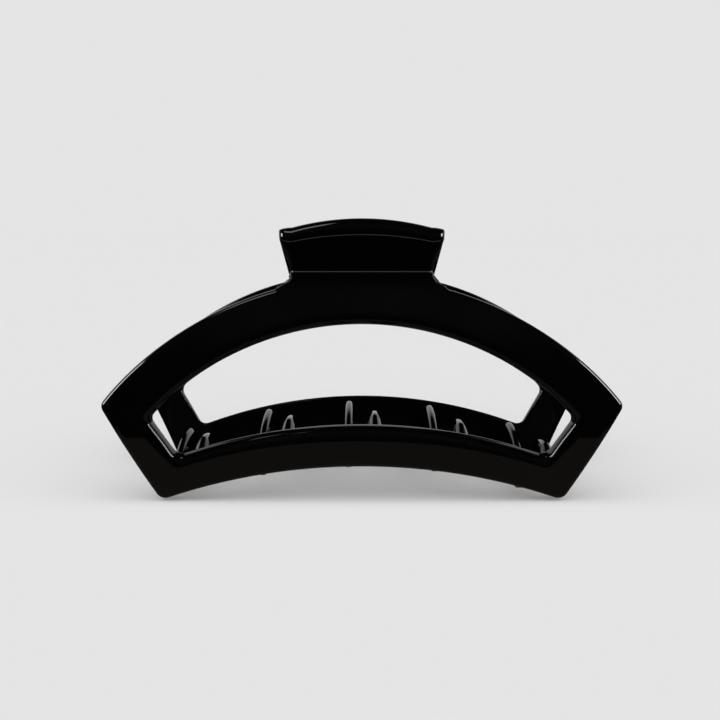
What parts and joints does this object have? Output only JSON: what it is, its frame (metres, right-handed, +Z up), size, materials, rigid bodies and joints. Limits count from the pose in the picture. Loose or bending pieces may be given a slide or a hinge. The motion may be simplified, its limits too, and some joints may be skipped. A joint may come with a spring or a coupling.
{
  "type": "claw clip",
  "caption": "Hair claw clip: arched open-frame jaws with interleaved hooked teeth, hinged on a sprung pin and opened by squeezing two finger tabs.",
  "frame": {"origin": "on the surface the closed clip stands on, under the middle of the clip", "axes": "+Z up from the feet to the finger tabs, +X along the hinge pin, +Y from the front jaw to the rear jaw"},
  "size_m": [0.1154, 0.0444, 0.0645],
  "materials": {
    "jaw_plastic": "high gloss black",
    "pin_steel": "bright drawn wire",
    "spring_steel": "bright spring wire"
  },
  "bodies": {
    "front": {"front_jaw": "jaw_plastic", "hinge_pin": "pin_steel", "torsion_spring": "spring_steel"},
    "rear": {"rear_jaw": "jaw_plastic"}
  },
  "joints": [
    {"name": "jaw_hinge", "type": "hinge", "parent": "front", "child": "rear", "pos_m": [0, 0, 0.04906], "axis": [1, 0, 0], "range_deg": [0, 75], "stiffness_Nm_per_rad": 0.15, "springref_deg": -45.84, "deforming": ["torsion_spring"]}
  ]
}
